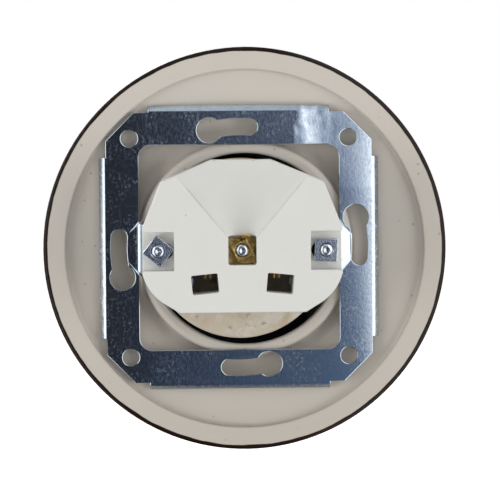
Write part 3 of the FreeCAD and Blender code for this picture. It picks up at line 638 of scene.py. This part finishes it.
# Barrel-plated steel: bright zinc over a face that the tumbling left grainy, so it sparkles
zinc_steel = metal("barrel_plated_zinc_on_steel", "#E2E5EC", "#B9BECA", cloud_size=0.7 * mm,
                   smooth=0.16, rough=0.30, grain_size=0.32 * mm, relief=0.055 * mm)
# Nickel on brass: clean and slightly warm
nickel_brass = metal("bright_nickel_on_brass", "#D8D2C6", "#BDB5A6", cloud_size=4 * mm,
                     smooth=0.14, rough=0.26, grain_size=0.5 * mm, relief=0.004 * mm)
# Tarnished brass: golden, with olive brown clouds
aged_brass = metal("tarnished_brass", "#E8C580", "#A4884E", cloud_size=0.9 * mm,
                   smooth=0.26, rough=0.50, grain_size=0.35 * mm, relief=0.012 * mm)

# %% [markdown]
# ## Rounded edges
# No pressed or stamped edge is truly sharp: the die leaves a small round, and that round catches
# the light as a thin bright line along every hole and border. Solids leave it out, so copies of the
# sheet and pressed parts get it here. A bevel by hand on each edge would take hours; a Bevel
# modifier that looks at the angle between faces finds all sharp edges by itself. The copy is first
# merged, because a solid's mesh comes as loose triangles, and flat triangles are joined so that
# only real edges are left. Smooth shading would then bend the light across the large flats.
# Weighted normals lean every corner towards its largest face, so the flats stay flat and only the
# narrow rounds are shaded round.

# %% Helpers that round a copy and settle it on the body
sharp_angle = math.radians(35)
smooth_angle = math.radians(50)
flat_angle = math.radians(0.8)
merge_reach = 0.002 * mm


def take(piece):
    """Select one piece alone and make it the active one."""
    bpy.ops.object.select_all(action="DESELECT")
    piece.select_set(True)
    bpy.context.view_layer.objects.active = piece


def settle(piece, finish, slot, *solids, crease=smooth_angle):
    """Smooth a finished piece, paint it, and put it on the body in place of its solids."""
    take(piece)
    bpy.ops.object.shade_smooth_by_angle(angle=crease)
    flats = piece.modifiers.new("flats", "WEIGHTED_NORMAL")
    flats.keep_sharp = True
    flats.weight = 100
    bpy.ops.object.modifier_apply(modifier="flats")
    piece.data.materials.clear()
    piece.data.materials.append(finish)
    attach(piece, "root")
    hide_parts(*solids)
    print(piece.name, "has", len(piece.data.polygons), "faces")


def rounded_copy(solid, edge_round):
    """Copy of a solid whose sharp edges are rounded."""
    piece = bpy.data.objects.new(solid + "_rounded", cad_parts[solid].data.copy())
    bpy.context.scene.collection.objects.link(piece)
    take(piece)
    bpy.ops.object.mode_set(mode="EDIT")
    bpy.ops.mesh.select_all(action="SELECT")
    bpy.ops.mesh.remove_doubles(threshold=merge_reach)
    bpy.ops.mesh.dissolve_limited(angle_limit=flat_angle)
    bpy.ops.object.mode_set(mode="OBJECT")
    edges = piece.modifiers.new("edges", "BEVEL")
    edges.limit_method = "ANGLE"
    edges.angle_limit = sharp_angle
    edges.width = edge_round
    edges.segments = 2
    edges.use_clamp_overlap = False
    edges.loop_slide = False
    bpy.ops.object.modifier_apply(modifier="edges")
    return piece


print("edges sharper than", round(math.degrees(sharp_angle)), "degrees are rounded")

# %% [markdown]
# A pressed stone edge is rounder than a stamped strip's, so each part has a round of its own.

# %% Round the pressed and stamped parts
softened = (
    # solid, round of its edges, finish, slot
    ("ceramic_base", 0.20 * mm, steatite, "steatite"),
    ("line_contact", 0.08 * mm, contact_brass, "contact_brass"),
    ("neutral_contact", 0.08 * mm, contact_brass, "contact_brass"),
    ("contact_springs", 0.06 * mm, spring_steel, "spring_steel"),
    ("terminal_washers", 0.06 * mm, zinc_steel, "zinc_plated_steel"),
    ("terminal_screws", 0.08 * mm, zinc_steel, "zinc_plated_steel"),
    ("earth_strap", 0.12 * mm, nickel_brass, "plated_brass"),
    ("earth_clamp_plate", 0.10 * mm, aged_brass, "aged_brass"),
)
for solid, edge_round, finish, slot in softened:
    settle(rounded_copy(solid, edge_round), finish, slot, solid)

# %% [markdown]
# The bracket needs one step more. Where the shallow ramps beside its tabs run out on the flat, the
# bevel pushes their corners past the edge of the keyhole, and the crossed border shows as a dark
# wedge in the mirror. The corners could be dug out and remade one by one; it is quicker to pick
# them by place and scale them back to where the ramps end. Corners near the back plane are scaled
# to nothing across it, which presses them flat. The ramps' creases stay sharp, as a press leaves
# them.

# %% Bracket pressed flat
bracket_edge = 0.14 * mm
fold_angle = math.radians(11)
proud = 0.03 * mm
ramp_near = 28.0 * mm
ramp_far = 28.4 * mm
ramp_half = 3.1 * mm
press_flat = (1.0, 0.0, 1.0)
ramp_back = (0.979, 1.0, 1.217)
middle = (0.0, 0.0, 0.0)


def pick(piece, kind, wanted):
    """Enter edit mode with only those faces or corners selected that pass the test."""
    bpy.ops.object.mode_set(mode="EDIT")
    bpy.ops.mesh.select_mode(type=kind)
    bpy.ops.mesh.select_all(action="DESELECT")
    bpy.ops.object.mode_set(mode="OBJECT")
    for part in piece.data.polygons if kind == "FACE" else piece.data.vertices:
        part.select = wanted(part)
    bpy.ops.object.mode_set(mode="EDIT")


def on_flat(corner):
    """Whether a corner lies near the bracket's back plane."""
    return abs(corner.co.y) < proud


def at_ramp(corner):
    """Whether a corner on the flat is one where a ramp runs out."""
    return (on_flat(corner) and ramp_near < abs(corner.co.x) < ramp_far
            and abs(corner.co.z) < ramp_half)


bracket = rounded_copy("mounting_bracket", bracket_edge)
for test, scale in ((on_flat, press_flat), (at_ramp, ramp_back)):
    pick(bracket, "VERT", test)
    bpy.ops.transform.resize(value=scale, center_override=middle)
bpy.ops.object.mode_set(mode="OBJECT")
settle(bracket, zinc_sheet, "zinc_plated_sheet", "mounting_bracket", crease=fold_angle)

# %% [markdown]
# ## Square nuts
# The two base screws and the earth screw carry square nuts, sawn from bar and tumbled. A nut is
# a block with its edges rounded by the tumbling and a hole that flares at both ends, so that
# a screw finds its way in. The hole could be built face by face; it is quicker to turn a punch of
# the hole's shape and subtract it. The nut is modelled once for each size, lying on the origin with
# its axis along Y, then copied and turned. First come the steps that nuts and screws share.

# %% Helpers for turned parts
facing = 0.9


def turned_rod(sides, radius, length, top):
    """Upright rod whose upper end lies at the height top."""
    bpy.ops.object.select_all(action="DESELECT")
    bpy.ops.mesh.primitive_cylinder_add(vertices=sides, radius=radius, depth=length,
                                        location=(0, 0, top - length / 2))
    bpy.ops.object.transform_apply(location=True, rotation=True, scale=True)
    return bpy.context.object


def pick_end(rod, side):
    """Enter edit mode with the end of an upright rod selected: 1 is its upper end, -1 its lower."""
    pick(rod, "FACE", lambda face: face.normal.z * side > facing)


def cut_with(piece, tool, operation="DIFFERENCE"):
    """Cut a piece with a tool, or keep what both share, and throw the tool away."""
    take(piece)
    cut = piece.modifiers.new("cut", "BOOLEAN")
    cut.object = tool
    cut.operation = operation
    cut.solver = "EXACT"
    bpy.ops.object.modifier_apply(modifier="cut")
    bpy.data.objects.remove(tool)


def lay_along_y(piece):
    """Turn a piece that was modelled upright, along Z, so that its top looks along +Y."""
    take(piece)
    piece.rotation_euler = (math.radians(-90), 0, 0)
    bpy.ops.object.transform_apply(location=True, rotation=True, scale=True)


def placed_copy(piece, name, turn, place):
    """Copy of a piece with its own mesh, turned about Y and moved to its place."""
    copy = bpy.data.objects.new(name, piece.data.copy())
    bpy.context.scene.collection.objects.link(copy)
    take(copy)
    copy.rotation_euler = (0, math.radians(turn), 0)
    copy.location = place
    bpy.ops.object.transform_apply(location=True, rotation=True, scale=True)
    return copy


print("an end is a face within", round(math.degrees(math.acos(facing))), "degrees of the axis")

# %% [markdown]
# The punch is a rod with the hole's radius. Each of its ends is drawn out to a flare and then far
# beyond the nut, so that it cuts clean through.

# %% Model the nuts
hole_radius = 1.55 * mm
flare_depth = 0.28 * mm
flare_scale = 1.22
nut_edge = 0.16 * mm
screw_x = 20.2 * mm
base_nut_y = 19.9 * mm
earth_nut_y = 18.8 * mm


def square_nut(name, width, height):
    """Square nut on the origin: tumbled block, flared hole, axis along Y."""
    throat = height - 2 * flare_depth
    punch = turned_rod(48, hole_radius, throat, top=throat / 2)
    for end in (1, -1):
        pick_end(punch, end)
        for step, scale in ((flare_depth, flare_scale), (height, 2 * flare_scale)):
            bpy.ops.mesh.extrude_region_move(TRANSFORM_OT_translate={"value": (0, 0, end * step)})
            bpy.ops.transform.resize(value=(scale, scale, 1))
        bpy.ops.object.mode_set(mode="OBJECT")
    bpy.ops.object.select_all(action="DESELECT")
    bpy.ops.mesh.primitive_cube_add(size=1)
    nut = bpy.context.object
    nut.name = name
    bpy.ops.object.mode_set(mode="EDIT")
    bpy.ops.mesh.select_all(action="SELECT")
    bpy.ops.transform.resize(value=(width, width, height))
    bpy.ops.mesh.bevel(offset=nut_edge, segments=3, affect="EDGES")
    bpy.ops.object.mode_set(mode="OBJECT")
    cut_with(nut, punch)
    lay_along_y(nut)
    return nut


base_nut = square_nut("base_nut", width=5.5 * mm, height=1.8 * mm)
for name, turn, x in (("base_nut_left", -38.0, screw_x), ("base_nut_right", -3.0, -screw_x)):
    settle(placed_copy(base_nut, name, turn, (x, base_nut_y, 0)),
           zinc_steel, "zinc_plated_steel", "base_nuts")
bpy.data.objects.remove(base_nut)

earth_nut = square_nut("earth_nut_blank", width=4.3 * mm, height=2.4 * mm)
settle(placed_copy(earth_nut, "earth_nut_tumbled", 27.0, (0, earth_nut_y, 0)),
       aged_brass, "aged_brass", "earth_nut")
bpy.data.objects.remove(earth_nut)

# %% [markdown]
# ## Threaded screws
# A machine screw is rolled: a turned blank with a slotted head, a chamfered end and, near that end,
# a thread pressed into it. Much the same works here. A V, drawn out from a single point, is wound
# up by a Screw modifier into a thread; the blank with its chamfer and its small centre mark is
# turned from a rod; and what the two share is the threaded end.

# %% Helpers for the threaded end
thread_pitch = 0.5 * mm
crest_radius = 1.48 * mm
root_radius = 1.20 * mm
thread_length = 4.6 * mm
turn_steps = 28
end_chamfer = 0.42 * mm
mark_depth = 0.22 * mm
mark_scale = 0.35


def wound_thread():
    """Upright thread, wound up a little too long and cut off and closed at both ends."""
    turns = math.ceil(thread_length / thread_pitch) + 4
    bpy.ops.object.select_all(action="DESELECT")
    bpy.ops.mesh.primitive_plane_add(size=thread_pitch, location=(0, 0, 0))
    thread = bpy.context.object
    bpy.ops.object.mode_set(mode="EDIT")
    bpy.ops.mesh.select_mode(type="VERT")
    bpy.ops.mesh.select_all(action="SELECT")
    bpy.ops.mesh.merge(type="CENTER")
    bpy.ops.transform.translate(value=(root_radius, 0, -(turns - 2) * thread_pitch))
    for step in (crest_radius - root_radius, root_radius - crest_radius):
        bpy.ops.mesh.extrude_vertices_move(
            TRANSFORM_OT_translate={"value": (step, 0, thread_pitch / 2)})
    bpy.ops.object.mode_set(mode="OBJECT")
    wind = thread.modifiers.new("wind", "SCREW")
    wind.axis = "Z"
    wind.screw_offset = thread_pitch
    wind.iterations = turns
    wind.steps = turn_steps
    wind.render_steps = turn_steps
    wind.use_merge_vertices = True
    wind.merge_threshold = merge_reach
    bpy.ops.object.modifier_apply(modifier="wind")
    for level, side in ((thread_pitch, 1), (-thread_length - thread_pitch, -1)):
        bpy.ops.object.mode_set(mode="EDIT")
        bpy.ops.mesh.select_all(action="SELECT")
        bpy.ops.mesh.remove_doubles(threshold=merge_reach)
        bpy.ops.mesh.bisect(plane_co=(0, 0, level), plane_no=(0, 0, side), use_fill=True,
                            clear_outer=True)
        bpy.ops.mesh.select_all(action="SELECT")
        bpy.ops.mesh.normals_make_consistent(inside=False)
        bpy.ops.object.mode_set(mode="OBJECT")
    return thread


def threaded_end():
    """Upright threaded end whose tip lies in the plane z = 0."""
    thread = wound_thread()
    blank = turned_rod(48, crest_radius, thread_length, top=0.0)
    pick_end(blank, 1)
    bpy.ops.mesh.bevel(offset=end_chamfer, segments=1, affect="EDGES")
    bpy.ops.object.mode_set(mode="OBJECT")
    pick_end(blank, 1)
    bpy.ops.mesh.inset(thickness=end_chamfer)
    bpy.ops.mesh.extrude_region_move(TRANSFORM_OT_translate={"value": (0, 0, -mark_depth)})
    bpy.ops.transform.resize(value=(mark_scale, mark_scale, 1))
    bpy.ops.object.mode_set(mode="OBJECT")
    cut_with(thread, blank, "INTERSECT")
    return thread


print("thread of", thread_pitch / mm, "mm pitch over", round(thread_length / mm, 1), "mm")

# %% [markdown]
# Shank and head are added below the threaded end. The slot is cut with a blade, as a saw would.
# Each kind of screw is modelled once, and its copies are turned, because no two screws stop at
# the same angle.

# %% Model the screws
head_radius = 2.75 * mm
head_round = 0.35 * mm
slot_width = 0.8 * mm
slot_depth = 0.8 * mm
small_edge = 0.1 * mm
shank_overlap = 0.5 * mm
base_tip_y = 21.6 * mm
centre_tip_y = 20.8 * mm


def slotted_head(height, foot):
    """Upright screw head whose slotted face lies at the height foot and looks down."""
    head = turned_rod(64, head_radius, height, top=foot + height)
    pick_end(head, -1)
    bpy.ops.mesh.bevel(offset=head_round, segments=4, affect="EDGES")
    bpy.ops.object.mode_set(mode="OBJECT")
    bpy.ops.object.select_all(action="DESELECT")
    bpy.ops.mesh.primitive_cube_add(size=1, location=(0, 0, foot))
    blade = bpy.context.object
    bpy.ops.object.mode_set(mode="EDIT")
    bpy.ops.transform.resize(value=(3 * head_radius, slot_width, 2 * slot_depth))
    bpy.ops.mesh.bevel(offset=small_edge, segments=2, affect="EDGES")
    bpy.ops.object.mode_set(mode="OBJECT")
    cut_with(head, blade)
    return head


def slotted_screw(name, foot_y, head_height, tip_y):
    """Whole screw along Y: slotted head from foot_y on, plain shank, threaded end up to tip_y."""
    length = tip_y - foot_y
    screw = threaded_end()
    screw.name = name
    shank_length = length - head_height - thread_length + 2 * shank_overlap
    shank = turned_rod(32, root_radius, shank_length, top=shank_overlap - thread_length)
    pick(shank, "FACE", lambda face: abs(face.normal.z) > facing)
    bpy.ops.mesh.bevel(offset=small_edge, segments=1, affect="EDGES")
    bpy.ops.object.mode_set(mode="OBJECT")
    head = slotted_head(head_height, -length)
    bpy.ops.object.select_all(action="DESELECT")
    for part in (head, shank, screw):
        part.select_set(True)
    bpy.context.view_layer.objects.active = screw
    bpy.ops.object.join()
    lay_along_y(screw)
    return screw


base_screw = slotted_screw("base_screw", foot_y=5.5 * mm, head_height=2.0 * mm, tip_y=base_tip_y)
for name, turn, x in (("base_screw_left", 20.0, screw_x), ("base_screw_right", -65.0, -screw_x)):
    settle(placed_copy(base_screw, name, turn, (x, base_tip_y, 0)),
           zinc_steel, "zinc_plated_steel", "base_screws")
bpy.data.objects.remove(base_screw)

centre_screw = slotted_screw("centre_screw_blank", foot_y=0.5 * mm, head_height=1.4 * mm,
                             tip_y=centre_tip_y)
settle(placed_copy(centre_screw, "centre_screw_threaded", 0.0, (0, centre_tip_y, 0)),
       zinc_steel, "zinc_plated_steel", "centre_screw")
bpy.data.objects.remove(centre_screw)
